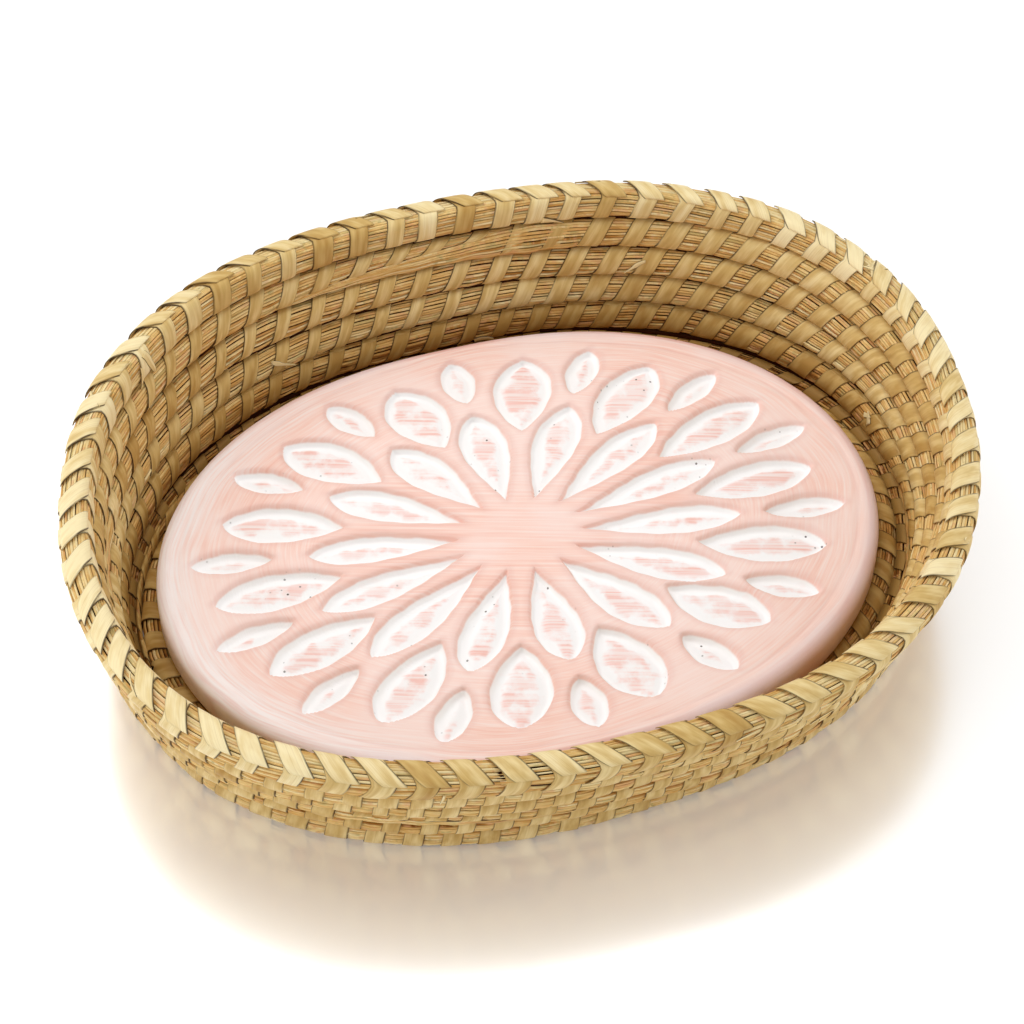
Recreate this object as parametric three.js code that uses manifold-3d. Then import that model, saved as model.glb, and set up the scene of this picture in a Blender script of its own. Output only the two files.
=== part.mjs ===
// Coiled grass bread basket with a carved terracotta warming stone lying loose in it.
// Millimetres, +Z up, +X along the oval, floor at z = 0, origin under the middle of the basket.
// The basket is wound: a flat base coil, level wall courses laid on its edge and a lashed rim.
import * as THREE from 'three';
import { mergeVertices } from 'three/addons/utils/BufferGeometryUtils.js';
import Module from 'manifold-3d';

const wasm = await Module();
wasm.setup();

// Coil: grass bundles laid side by side
const coilPitch = 10.95;
const stitchGap = 0.55;
const bundleSize = coilPitch - stitchGap;
const wallCourses = 5;
const ovalFullness = 0.5;
const courseSteps = 48;
const courseSides = 8;

// Floor course: its middle line
const floorHalfLength = 134.8;
const floorHalfWidth = 101.8;
const floorShift = new THREE.Vector2(0, 3.3);

// Rim: a bundle under flat palm strips, its middle line fuller at the corners and higher at the back
const rimHalfLength = 146.2;
const rimHalfWidth = 116.8;
const rimCornerSwell = 2.1;
const rimCornerDirection = THREE.MathUtils.degToRad(34.6);
const rimHeight = 51.9;
const rimRise = 5.9;
const rimRiseDirection = THREE.MathUtils.degToRad(80);
const rimBundleSize = 10.6;
const lashingStrips = 8;
const wrapsPerStrip = 8;
const lashings = lashingStrips * wrapsPerStrip;
const stripThickness = 0.8;
const stripGap = 0.35;
const uprightShare = 0.56;
const crossingShare = 0.84;

// Splices: the tail of a course tucks under its own head
const spliceLength = 96;
const rimSpliceLength = 40;
const spliceTip = 0.1;
const spliceGap = 0.7;
const topSpliceDirection = THREE.MathUtils.degToRad(78);
const spliceStagger = THREE.MathUtils.degToRad(77);
const rimSpliceDirection = THREE.MathUtils.degToRad(254.2);

// Base coil
const baseSides = 6;
const baseSteps = 26;
const baseStartDirection = THREE.MathUtils.degToRad(104);
const baseStartTurn = -0.5;
const baseStartRadius = 2.9;
const straightStart = 55.6;
const straightStartSwell = 1.4;
const tailTip = 0.4;

// Warming stone
const stoneSideRoom = 4.8;
const stoneEndRoom = 8.4;
const stoneThickness = 14.8;
const stoneEdge = 4;
const stoneLift = 0.3;
const stoneTurn = THREE.MathUtils.degToRad(-1.2);
const stoneShift = [-1.2, -0.7];
const stoneSegments = 60;
const carvingDepth = 3;
const leafCount = 14;

const straw = new THREE.MeshStandardMaterial({ color: '#b98f52', roughness: 0.8, metalness: 0 });
const palm = new THREE.MeshStandardMaterial({ color: '#e2cc98', roughness: 0.6, metalness: 0 });
const terracotta = new THREE.MeshStandardMaterial({ color: '#e6b5a2', roughness: 0.9, metalness: 0 });

// The rest follows from the two ovals and the pitch
const floorCore = floorHalfLength - floorHalfWidth;
const rimCore = rimHalfLength - rimHalfWidth;
const rimCourse = wallCourses + 1;
const rimStep = rimBundleSize / 2 + 2 * stripGap + stripThickness + bundleSize / 2;
const floorHeight = bundleSize / 2;
const stoneHalfWidth = floorHalfWidth - bundleSize / 2 - stoneSideRoom;
const stoneHalfLength = floorHalfLength - bundleSize / 2 - stoneEndRoom;

// A point of the oval that lies a radius away from a straight core
function ovalPoint(radius, angle, core) {
  const along = Math.cos(angle);
  const shift = core * Math.sign(along) * Math.abs(along) ** ovalFullness;
  return new THREE.Vector2(shift + radius * along, radius * Math.sin(angle));
}

// Outward side of a line round the basket
function outwardOf(line, angle) {
  const step = 1e-3;
  const ahead = line(angle + step).sub(line(angle - step)).normalize();
  return new THREE.Vector2(ahead.y, -ahead.x);
}

function floorPoint(angle) {
  return ovalPoint(floorHalfWidth, angle, floorCore).add(floorShift);
}

function rimPoint(angle) {
  const plain = (a) => ovalPoint(rimHalfWidth, a, rimCore);
  const swell = rimCornerSwell * Math.cos(4 * (angle - rimCornerDirection));
  return plain(angle).addScaledVector(outwardOf(plain, angle), swell);
}

// Line round the wall at a share of the way from the floor course to the rim
function wallLine(share) {
  return (angle) => floorPoint(angle).lerp(rimPoint(angle), share);
}

// Place on a course: the point, the wall's outward side, its upward slope and how far the courses are spread there,
// since the wall is higher at the back. The floor course lies level, the ones above it lean outward.
function wallPlace(course, angle) {
  const height = rimHeight + rimRise * Math.cos(angle - rimRiseDirection);
  const outward = rimPoint(angle).sub(floorPoint(angle)).dot(outwardOf(wallLine(0.5), angle));
  const slant = Math.hypot(outward, height);
  const coursesSlant = slant - rimStep;
  const below = course === rimCourse ? 0 : rimStep + (coursesSlant * (wallCourses - course)) / (wallCourses - 1);
  const share = 1 - below / slant;
  const here = wallLine(share)(angle);
  const out = outwardOf(wallLine(share), angle);
  const lean = course > 1 ? Math.atan2(outward, height) : 0;
  const point = new THREE.Vector3(here.x, here.y, floorHeight + share * height);
  const side = new THREE.Vector3(out.x * Math.cos(lean), out.y * Math.cos(lean), -Math.sin(lean));
  const slope = new THREE.Vector3(out.x * Math.sin(lean), out.y * Math.sin(lean), Math.cos(lean));
  return { point, side, slope, spread: coursesSlant / ((wallCourses - 1) * coilPitch) };
}

// Angles that cut a course into steps of equal length, counted from a given angle
function evenAngles(course, first, steps) {
  const fine = steps * 24;
  const lengths = [0];
  let before = wallPlace(course, first).point;
  for (let i = 1; i <= fine; i++) {
    const here = wallPlace(course, first + (2 * Math.PI * i) / fine).point;
    lengths.push(lengths[i - 1] + here.distanceTo(before));
    before = here;
  }
  const angles = [];
  let near = 0;
  for (let i = 0; i < steps; i++) {
    const wanted = (lengths[fine] * i) / steps;
    while (lengths[near + 1] < wanted) near++;
    const part = (wanted - lengths[near]) / (lengths[near + 1] - lengths[near]);
    angles.push(first + (2 * Math.PI * (near + part)) / fine);
  }
  return { angles, length: lengths[fine] };
}

// Corners of a flat-topped polygon, measured to its flats
function polygon(sides) {
  const corners = [];
  const reach = 1 / Math.cos(Math.PI / sides);
  const first = sides === 6 ? 0 : Math.PI / sides;
  for (let i = 0; i < sides; i++) {
    const angle = first + (2 * Math.PI * i) / sides;
    corners.push([reach * Math.cos(angle), reach * Math.sin(angle)]);
  }
  return corners;
}

function solidFrom(positions, triangles) {
  const geometry = new THREE.BufferGeometry();
  geometry.setAttribute('position', new THREE.Float32BufferAttribute(positions, 3));
  geometry.setIndex(triangles);
  return geometry;
}

// Skin over a row of rings with equal numbers of points, closed at both ends
function skin(rings) {
  const count = rings[0].length;
  const positions = rings.flat().flatMap((p) => [p.x, p.y, p.z]);
  const triangles = [];
  for (let i = 0; i + 1 < rings.length; i++) {
    for (let j = 0; j < count; j++) {
      const a = i * count + j;
      const b = i * count + ((j + 1) % count);
      triangles.push(a, a + count, b + count, a, b + count, b);
    }
  }
  const last = (rings.length - 1) * count;
  for (let j = 1; j + 1 < count; j++) {
    triangles.push(0, j, j + 1, last, last + j + 1, last + j);
  }
  return solidFrom(positions, triangles);
}

// Ring of a bundle at a place: corners scaled to half its width, and fitted between low and high on the slope
function bundleRing(place, corners, halfWidth, low, high) {
  return corners.map(([across, up]) => place.point.clone()
    .addScaledVector(place.side, across * halfWidth)
    .addScaledVector(place.slope, (low + high) / 2 + (up * (high - low)) / 2));
}

// One course of the wall, or the rim: once round, the tail tucked under the head in a splice
function courseGeometry(course, size, first, steps, splice, spreadsDown, spreadsUp) {
  const corners = polygon(courseSides);
  const { angles, length } = evenAngles(course, first, steps);
  const spliceSteps = Math.max(3, Math.round((splice / length) * steps));
  const half = size / 2;
  const rings = [];
  for (let i = 0; i <= steps + spliceSteps; i++) {
    const place = wallPlace(course, angles[i % steps]);
    const reach = (coilPitch * place.spread - stitchGap) / 2;
    const bottom = spreadsDown ? -reach : -half;
    const top = spreadsUp ? reach : half;
    const headShare = i / spliceSteps;
    const tailShare = (i - steps) / spliceSteps;
    const split = (share) => THREE.MathUtils.lerp(top, bottom, spliceTip + (1 - 2 * spliceTip) * share);
    const low = headShare < 1 ? split(headShare) + spliceGap / 2 : bottom;
    const high = tailShare > 0 ? split(tailShare) - spliceGap / 2 : top;
    const fill = (high - low) / (top - bottom);
    rings.push(bundleRing(place, corners, half * Math.min(1, 0.45 + 0.55 * fill), low, high));
  }
  return skin(rings);
}

// Flat base coil: a straight start, then turns one pitch apart, the last one thinning out against the floor course
function baseCoilGeometry() {
  const corners = polygon(baseSides);
  const flatReach = Math.cos(Math.PI / baseSides);
  const half = bundleSize / 2;
  const innerEdge = floorHalfWidth - half - stitchGap;
  const turns = (floorHalfWidth - 2 * coilPitch) / coilPitch;
  const radiusAt = (turn) => (turn < 0
    ? THREE.MathUtils.lerp(coilPitch, baseStartRadius, turn / baseStartTurn)
    : coilPitch * (turn + 1));
  const angleAt = (turn) => baseStartDirection + 2 * Math.PI * turn;
  const upward = new THREE.Vector3(0, 0, 1);
  const rings = [];
  const addRing = (centre, ahead, halfWidth) => {
    const out = new THREE.Vector3(ahead.y, -ahead.x, 0);
    const place = { point: new THREE.Vector3(centre.x, centre.y, half), side: out, slope: upward };
    rings.push(bundleRing(place, corners, halfWidth * flatReach, -half, half));
  };
  const turnPoint = (radius, turn) => ovalPoint(radius, angleAt(turn), floorCore).add(floorShift);
  const spiral = (turn) => turnPoint(radiusAt(turn), turn);
  const heading = (turn) => spiral(turn + 1e-3).sub(spiral(turn - 1e-3)).normalize();
  const startHeading = new THREE.Vector2(1, 0);
  const start = spiral(baseStartTurn);
  addRing(start.clone().addScaledVector(startHeading, -straightStart), startHeading, half * straightStartSwell);
  addRing(start.clone().addScaledVector(startHeading, -half), startHeading, half * straightStartSwell);
  const fullSteps = Math.round((turns - baseStartTurn) * baseSteps);
  for (let i = 0; i <= fullSteps; i++) {
    const turn = baseStartTurn + ((turns - baseStartTurn) * i) / fullSteps;
    addRing(spiral(turn), heading(turn), half);
  }
  for (let i = 1; i < baseSteps; i++) {
    const turn = turns + i / baseSteps;
    const inner = radiusAt(turn) - half;
    const halfWidth = Math.min(half, (innerEdge - inner) / 2);
    if (halfWidth < tailTip) break;
    addRing(turnPoint(inner + halfWidth, turn), heading(turn), halfWidth);
  }
  return { geometry: skin(rings), rings };
}

// One palm strip of the rim: up the inside, slanting over the crest, down the outside, and on
function lashingGeometry(stripIndex, stations) {
  const reach = 1 / Math.cos(Math.PI / courseSides);
  const inner = (rimBundleSize / 2 + stripGap) * reach;
  const outer = inner + stripThickness * reach;
  const advance = [0, 0, 0, 0.25, 0.75, 1, 1, 1];
  const widths = [uprightShare, uprightShare, uprightShare, crossingShare, crossingShare,
    uprightShare, uprightShare, uprightShare];
  const rings = [];
  for (let wrap = 0; wrap < wrapsPerStrip; wrap++) {
    for (let i = 0; i < courseSides; i++) {
      const turn = (2 * Math.PI * (courseSides - i - 2.5)) / courseSides;
      const centre = stripIndex * wrapsPerStrip + wrap + advance[i];
      const corner = (along, radius) => {
        const place = stations(along);
        return place.point.clone()
          .addScaledVector(place.side, radius * Math.cos(turn))
          .addScaledVector(place.slope, radius * Math.sin(turn));
      };
      const from = centre - widths[i] / 2;
      const to = centre + widths[i] / 2;
      rings.push([corner(from, inner), corner(from, outer), corner(to, outer), corner(to, inner)]);
    }
  }
  return skin(rings);
}

function toManifold(geometry) {
  const bare = geometry.clone();
  bare.deleteAttribute('normal');
  bare.deleteAttribute('uv');
  const merged = mergeVertices(bare, 1e-4);
  const mesh = new wasm.Mesh({
    numProp: 3,
    vertProperties: new Float32Array(merged.attributes.position.array),
    triVerts: new Uint32Array(merged.index.array),
  });
  return new wasm.Manifold(mesh);
}

function fromManifold(solid) {
  const mesh = solid.getMesh();
  return solidFrom(Array.from(mesh.vertProperties), Array.from(mesh.triVerts));
}

// Leaf outline around the stone's middle: from and to are shares of the way to its edge, width a share of a leaf's room
function leafOutline(direction, from, to, width, points) {
  const outline = [];
  for (let i = 0; i < 2 * points; i++) {
    const turn = (Math.PI * i) / points;
    const share = (from + to) / 2 - ((to - from) / 2) * Math.cos(turn);
    const spread = (width * Math.PI * Math.sin(turn) * Math.abs(Math.sin(turn)) ** 0.4) / leafCount;
    const angle = direction - spread;
    outline.push([stoneHalfLength * share * Math.cos(angle), stoneHalfWidth * share * Math.sin(angle)]);
  }
  return outline;
}

// Sunk field with sloping sides, open at the top
function sunkField(outline) {
  const middle = [0, 1].map((axis) => outline.reduce((sum, p) => sum + p[axis], 0) / outline.length);
  const ring = (scale, height) => outline.map(([x, y]) => new THREE.Vector3(
    middle[0] + (x - middle[0]) * scale,
    middle[1] + (y - middle[1]) * scale,
    height,
  ));
  const top = stoneThickness;
  return skin([ring(1.1, top + 1), ring(1, top), ring(0.78, top - carvingDepth)]);
}

function stoneGeometry() {
  const points = [];
  for (let i = 0; i < stoneSegments; i++) {
    const angle = (2 * Math.PI * (i + 0.5)) / stoneSegments;
    points.push(ovalPoint(stoneHalfWidth - stoneEdge, angle, stoneHalfLength - stoneHalfWidth));
  }
  const slab = new THREE.ExtrudeGeometry(new THREE.Shape(points), {
    depth: stoneThickness - 2 * stoneEdge,
    bevelEnabled: true,
    bevelThickness: stoneEdge,
    bevelSize: stoneEdge,
    bevelSegments: 2,
  }).translate(0, 0, stoneEdge);
  let solid = toManifold(slab);
  for (let i = 0; i < leafCount; i++) {
    const direction = (2 * Math.PI * (i + 0.5)) / leafCount;
    const between = (2 * Math.PI * i) / leafCount;
    solid = solid.subtract(toManifold(sunkField(leafOutline(direction, 0.17, 0.62, 0.76, 5))));
    solid = solid.subtract(toManifold(sunkField(leafOutline(between, 0.5, 0.86, 0.58, 5))));
    solid = solid.subtract(toManifold(sunkField(leafOutline(direction, 0.68, 0.91, 0.3, 3))));
  }
  return fromManifold(solid);
}

const basket = new THREE.Group();
basket.name = 'bread_warmer_basket';

function addPiece(name, geometry, material) {
  const facets = geometry.toNonIndexed();
  facets.computeVertexNormals();
  const piece = new THREE.Mesh(facets, material);
  piece.name = name;
  basket.add(piece);
}

const base = baseCoilGeometry();
addPiece('base_coil', base.geometry, straw);
for (let course = 1; course <= wallCourses; course++) {
  const first = topSpliceDirection + (wallCourses - course) * spliceStagger;
  const spreads = [course > 1, course < wallCourses];
  const geometry = courseGeometry(course, bundleSize, first, courseSteps, spliceLength, ...spreads);
  addPiece(`wall_course_${course}`, geometry, straw);
}

const rimAngles = evenAngles(rimCourse, rimSpliceDirection, lashings).angles;
const rimBundle = courseGeometry(
  rimCourse, rimBundleSize, rimSpliceDirection, lashings, rimSpliceLength, false, false,
);
addPiece('rim_bundle', rimBundle, straw);
const rimStation = (along) => {
  const turns = Math.floor(along / lashings);
  const whole = Math.floor(along) - turns * lashings;
  const from = rimAngles[whole];
  const to = whole + 1 < lashings ? rimAngles[whole + 1] : rimAngles[0] + 2 * Math.PI;
  return wallPlace(rimCourse, from + (to - from) * (along - Math.floor(along)));
};
for (let strip = 0; strip < lashingStrips; strip++) {
  addPiece(`rim_strip_${strip + 1}`, lashingGeometry(strip, (along) => rimStation(along + 0.5)), palm);
}

const stone = stoneGeometry();
stone.rotateZ(stoneTurn);
stone.translate(stoneShift[0], stoneShift[1], bundleSize + stoneLift);
addPiece('warming_stone', stone, terracotta);

// Least room between neighbouring turns of the base coil, measured on its ring corners
let leastGap = Infinity;
for (let i = 0; i < base.rings.length; i++) {
  for (let k = i + Math.round(baseSteps / 3); k < base.rings.length; k++) {
    for (const a of base.rings[i]) {
      for (const b of base.rings[k]) leastGap = Math.min(leastGap, a.distanceTo(b));
    }
  }
}
console.log(`least gap of the base coil to itself on points: ${leastGap.toFixed(2)} mm`);

export default basket;
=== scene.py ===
# Coiled bread basket with a warming stone: grass stems, palm stitches, lashed rim and limewashed carving.
# Metres, +Z up, +X along the oval, floor at z = 0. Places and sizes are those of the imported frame.
import math

import bpy
import numpy as np
from mathutils import Matrix, Vector


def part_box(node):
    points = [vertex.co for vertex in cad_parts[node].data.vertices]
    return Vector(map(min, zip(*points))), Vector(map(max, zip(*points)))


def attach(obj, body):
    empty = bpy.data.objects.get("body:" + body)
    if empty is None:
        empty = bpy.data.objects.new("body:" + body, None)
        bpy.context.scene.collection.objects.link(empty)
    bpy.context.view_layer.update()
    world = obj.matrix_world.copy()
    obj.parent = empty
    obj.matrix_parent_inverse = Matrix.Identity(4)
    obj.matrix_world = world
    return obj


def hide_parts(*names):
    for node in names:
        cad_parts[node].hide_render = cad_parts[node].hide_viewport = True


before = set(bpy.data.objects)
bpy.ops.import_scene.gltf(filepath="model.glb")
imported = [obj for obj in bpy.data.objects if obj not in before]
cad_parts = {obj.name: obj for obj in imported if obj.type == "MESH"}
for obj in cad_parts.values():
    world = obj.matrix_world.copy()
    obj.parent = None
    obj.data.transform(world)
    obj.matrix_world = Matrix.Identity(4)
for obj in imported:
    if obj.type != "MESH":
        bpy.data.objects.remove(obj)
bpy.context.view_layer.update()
mm = 0.001

# Courses: grass bundles laid level on each other
coil_pitch = 10.95 * mm
stitch_gap = 0.55 * mm
bundle_size = coil_pitch - stitch_gap
wall_courses = 5
splice_length = 96 * mm
rim_splice_length = 40 * mm
splice_tip = 0.1
top_splice_direction = math.radians(78)
splice_stagger = math.radians(77)

# Floor course: its middle line
floor_half_length = 134.8 * mm
floor_half_width = 101.8 * mm
floor_shift = np.array([0.0, 3.3 * mm])
floor_clearance = 0.02 * mm

# Rim: its middle line, fuller at the corners and higher at the back
rim_half_length = 146.2 * mm
rim_half_width = 116.8 * mm
rim_corner_swell = 2.1 * mm
rim_corner_direction = math.radians(34.6)
rim_height = 51.9 * mm
rim_rise = 5.9 * mm
rim_rise_direction = math.radians(80)
rim_splice_direction = math.radians(254.2)
rim_bundle_size = 10.6 * mm
rim_step = 12.0 * mm
lashing_strips = 8
wraps_per_strip = 8
lashings = lashing_strips * wraps_per_strip

# Base coil
base_start_direction = math.radians(104)
base_start_turn = -0.5
base_start_radius = 2.9 * mm
base_fullness = 1.12
straight_start = 55.6 * mm
straight_start_swell = 1.4
tail_tip = 0.4 * mm

# Grass bundles and their stems; low down they are darker inside with painted shade, and the stitches more
# so, and the base carries painted shade all over
grass_half = bundle_size / 2 - 0.45 * mm
rim_grass_half = rim_bundle_size / 2 - 0.2 * mm
squareness = 0.7
core_share = 0.84
core_sides = 10
crease_share = 0.36
crease_height = 1.3 * mm
crease_sides = 8
base_stems = 24
base_stem_step = 3.2 * mm
base_stem_sides = 3
base_stem_stoutness = 1.35
course_stems = 31
course_stem_step = 2.3 * mm
rim_stems = 35
rim_stem_step = 2.4 * mm
stem_sides = 5
stem_radius = (0.40 * mm, 0.58 * mm)
stem_depth = 0.32 * mm
stem_bulge = 0.22 * mm
stem_paleness = 0.65
rim_stem_paleness = 0.69
stem_tone_spread = 0.2
# Painted shade: the tone that colours the core and the crease packing near-black brown
painted_shade_tone = -1.0
course_filling = 0.4 * mm
rim_filling = 0.9 * mm
floor_course_fullness = 1.12
hand_wave = 0.4 * mm
top_splice_cover = 0.9 * mm
# Painted shade: how much darker the base and the insides of the two lowest courses are made, the stitches by
# a larger factor
base_painted_shade = 0.2
low_painted_shade = {1: 0.6, 2: 0.25}
stitch_painted_shade = 1.25

# Palm stitches, narrower at some places round the wall and lined up in ribs at the front
base_stitch_pitch = 12.6 * mm
stitches_per_course = 62
stitch_width = 8.3 * mm
stitch_thickness = 0.3 * mm
stitch_lean = (-0.125, 0.475)
stitch_jitter = 0.45 * mm
stitch_twist = 0.12 * mm
stitch_stations = 18
base_stitch_stations = 14
palm_tone = 0.38
stitch_narrowing = 0.29
narrow_directions = (math.radians(112), math.radians(262))
course_shift = -6.8 * mm
course_wander = -2.1 * mm
wander_direction = math.radians(-50)
rib_direction = math.radians(290)
rib_share = 0.95

# Palm strips of the rim; angles round the bundle are 0 outside and a quarter turn on top
upright_width = 6.9 * mm
upright_ends = (math.radians(-72), math.radians(252))
slant_width = 8.6 * mm
slant_reach = 0.34
slant_lift = 0.85 * mm
slant_half_turn = math.radians(47)
crest_turn = math.radians(99)
crest_turn_at_back = math.radians(25)
crest_half_turn = math.radians(44)
# Painted light: how much paler the rim strips are made toward the two ends of the oval
end_strip_painted_light = 0.44

# Stone, with its carving
stone_low, stone_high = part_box("warming_stone")
stone_middle = (stone_low + stone_high) / 2
stone_half_length = (stone_high.x - stone_low.x) / 2
stone_half_width = (stone_high.y - stone_low.y) / 2
stone_turn = math.radians(-1.2)
stone_edge = 4 * mm
carving_depth = 3 * mm
groove_depth = 0.3 * mm
groove_place = 0.945
groove_width = 0.006
stone_around = 720
stone_face_rings = 122

# Carved leaves: near end, far end and width, as shares of the way out and of the room each leaf has
leaf_count = 14
inner_leaf = (0.17, 0.62, 0.76)
middle_leaf = (0.50, 0.86, 0.58)
outer_leaf = (0.68, 0.91, 0.30)

# Points along the ways of the bundles
wall_points = 4001
spiral_points = 9001
start_points = 200
core_stations = 200
base_core_stations = 500

# Seeds of the unevenness
wall_seed = 60
course_seed = 100
base_seed = 11
rim_seed = 31
stone_seed = 7

# Derived from the two ovals and the pitch
floor_core = floor_half_length - floor_half_width
rim_core = rim_half_length - rim_half_width
rim_course = wall_courses + 1
floor_height = bundle_size / 2

# Loose ends: the course, then the direction, the angle round the bundle and the heading in degrees,
# then length, width and curl in mm
free_ends = (
    (rim_course, 15.5, 84, 35, 8, 1.6, 2.0),
    (rim_course, 17, 95, 200, 6, 1.2, 1.8),
    (rim_course, 16, 118, -40, 6, 1.0, 1.8),
    (2, 7, 165, -50, 4, 1.9, 1.6),
    (2, 8, 158, 200, 4, 1.6, 1.2),
    (rim_course, 240.7, 0, 250, 4, 0.8, 2.0),
    (rim_course, 68, 222, 165, 8, 4.0, 1.2),
    (2, 81, 215, 190, 7, 3.2, 2.0),
    (rim_course, 142, 170, 110, 8, 3.0, 1.8),
    (rim_course, 144, 195, 60, 6, 2.2, 2.2),
    (rim_course, 98, 60, 20, 8, 0.8, 2.0),
    (rim_course, 62, 58, 160, 9, 0.7, 1.8),
    (rim_course, 152, 80, 30, 8, 0.8, 1.6),
    (rim_course, 200, 60, 150, 7, 0.7, 2.0),
    (rim_course, 284, 20, 20, 8, 0.8, 1.8),
    (rim_course, 330, 70, 170, 7, 0.8, 1.6),
    (4, 52, 175, 15, 8, 0.8, 2.0),
    (3, 120, 180, 165, 9, 0.8, 1.6),
    (4, 300, 5, 20, 8, 0.8, 1.4),
)

# Camera: seen from the front, a little to the left, from above
camera_azimuth = -0.3086
camera_elevation = 0.8428
camera_distance = 0.9283
camera_roll = -0.009
camera_target = Vector((-2.18 * mm, 5.15 * mm, 30 * mm))
pixels_per_mm = 3.0287
picture_width = 1024
sensor_width = 36
camera_lens = sensor_width * pixels_per_mm * camera_distance / mm / picture_width

# Floor: half its width, its gloss, its glow by the basket and how far off that turns white
floor_reach = 6.0
floor_white = (0.95, 0.95, 0.95, 1)
floor_gloss = 0.5
floor_roughness = 0.24
floor_lift = 0.12
floor_fade = (0.7, 1.8)

# Lamps: place, size and power
lamps = {
    "key": ((-0.45, 0.62, 0.95), 0.8, 4.7),
    "overhead": ((0.00, 0.10, 1.30), 0.9, 6.0),
    "left": ((-1.20, -0.10, 0.45), 0.7, 4.2),
    "right": ((1.20, -0.20, 0.50), 0.7, 4.4),
    "front": ((0.00, -1.20, 0.50), 0.8, 2.0),
}
world_light = 0.3


def oval(radius, angle, core):
    """Points of the oval that lies a radius away from a straight core."""
    along = np.cos(angle)
    x = core * np.sign(along) * np.sqrt(np.abs(along)) + radius * along
    return np.stack([x, radius * np.sin(angle)], axis=-1)


def outward_of(flat):
    """Outward sides of a line of points that runs counterclockwise."""
    ahead = np.gradient(flat, axis=0)
    ahead /= np.linalg.norm(ahead, axis=1, keepdims=True)
    return np.column_stack([ahead[:, 1], -ahead[:, 0]])


def signed_power(value, power):
    return np.sign(value) * np.abs(value) ** power


# The squared section of a bundle, and the way round it drawn out to a full turn
section_angle = np.linspace(0, 2 * math.pi, 2001)
section_line = np.stack([signed_power(np.cos(section_angle), squareness),
                         signed_power(np.sin(section_angle), squareness)])
section_run = np.concatenate([[0.0], np.cumsum(np.hypot(*np.diff(section_line, axis=1)))])
section_run *= 2 * math.pi / section_run[-1]


def evenly(angle):
    """The angle on a bundle's squared section that is as far round it as this angle is round a circle."""
    turns = np.floor(angle / (2 * math.pi)) * 2 * math.pi
    return turns + np.interp(angle - turns, section_run, section_angle)


def smooth_step(low, high, value):
    """0 up to the low value, 1 from the high one on, smooth between."""
    share = np.clip((value - low) / (high - low), 0, 1)
    return share * share * (3 - 2 * share)


def slow_waves(rng, strands, distance, shortest, longest):
    """Gentle wandering, about 1 at most, for each strand along its distance."""
    total = np.zeros(np.broadcast_shapes((strands, 1), distance.shape))
    for _ in range(3):
        length = rng.uniform(shortest, longest, (strands, 1))
        phase = rng.uniform(0, 2 * math.pi, (strands, 1))
        total = total + np.sin(2 * math.pi * distance / length + phase) / 3
    return total


def hand_waves(rng, angle):
    """Slight unevenness round the basket, as hands leave it."""
    total = np.zeros(angle.shape)
    for waves in (3, 5, 8, 13):
        size = rng.normal(0, hand_wave)
        phase = rng.uniform(0, 2 * math.pi)
        total += size * np.sin(waves * angle + phase) / math.sqrt(waves)
    return total


class Bundle:
    """A grass bundle's way, measured along it: middle, outward side, upward slope and the size across."""

    def __init__(self, flat, height, spread, wide, lean, half, closed,
                 spreads=(False, False), filling=(0.0, 0.0)):
        steps = np.linalg.norm(np.diff(flat, axis=0), axis=1)
        self.distance = np.concatenate([[0.0], np.cumsum(steps)])
        self.length = self.distance[-1]
        facts = [np.broadcast_to(fact, len(flat)) for fact in (height, spread, wide, lean)]
        self.columns = np.column_stack([flat] + facts)
        self.half = half
        self.closed = closed
        self.spreads = spreads
        self.filling = filling

    def look_up(self, s, *columns):
        turn = np.mod(s, self.length) if self.closed else s
        found = [np.interp(turn, self.distance, self.columns[:, c]) for c in columns]
        return np.stack(found, axis=-1)

    def place(self, s, across, up):
        """Points out from the bundle's middle and up its slope."""
        s, across, up = np.broadcast_arrays(s, across, up)
        here = self.look_up(s, 0, 1, 2)
        ahead = self.look_up(s + 0.4 * mm, 0, 1) - self.look_up(s - 0.4 * mm, 0, 1)
        ahead /= np.linalg.norm(ahead, axis=-1, keepdims=True)
        lean = self.look_up(s, 5)[..., 0]
        out = across * np.cos(lean) + up * np.sin(lean)
        here[..., 0] += ahead[..., 1] * out
        here[..., 1] -= ahead[..., 0] * out
        here[..., 2] += up * np.cos(lean) - across * np.sin(lean)
        here[..., 2] = np.maximum(here[..., 2], floor_clearance)
        return here

    def section(self, s, angle, lift):
        """Across and up for a spot round the bundle, from the outside over the top to the inside."""
        spread, wide = np.moveaxis(self.look_up(s, 3, 4), -1, 0)
        room = (spread - 1) * coil_pitch / 2
        across = (self.half * wide + lift) * signed_power(np.cos(angle), squareness)
        upward = np.sin(angle)
        below, above = (spreads * room + filled for spreads, filled in zip(self.spreads, self.filling))
        grown = np.where(upward > 0, above, below)
        return across, (self.half + grown + lift) * signed_power(upward, squareness)

    def surface(self, s, angle, lift):
        return self.place(s, *self.section(s, angle, lift))

    def direction(self, s):
        """Direction from the basket's middle."""
        flat = self.look_up(s, 0, 1)
        return np.arctan2(flat[..., 1], flat[..., 0])

    def distance_at(self, direction):
        """Distance along at which the way points in a direction from the middle."""
        return self.distance[np.argmax(np.cos(self.direction(self.distance) - direction))]


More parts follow.
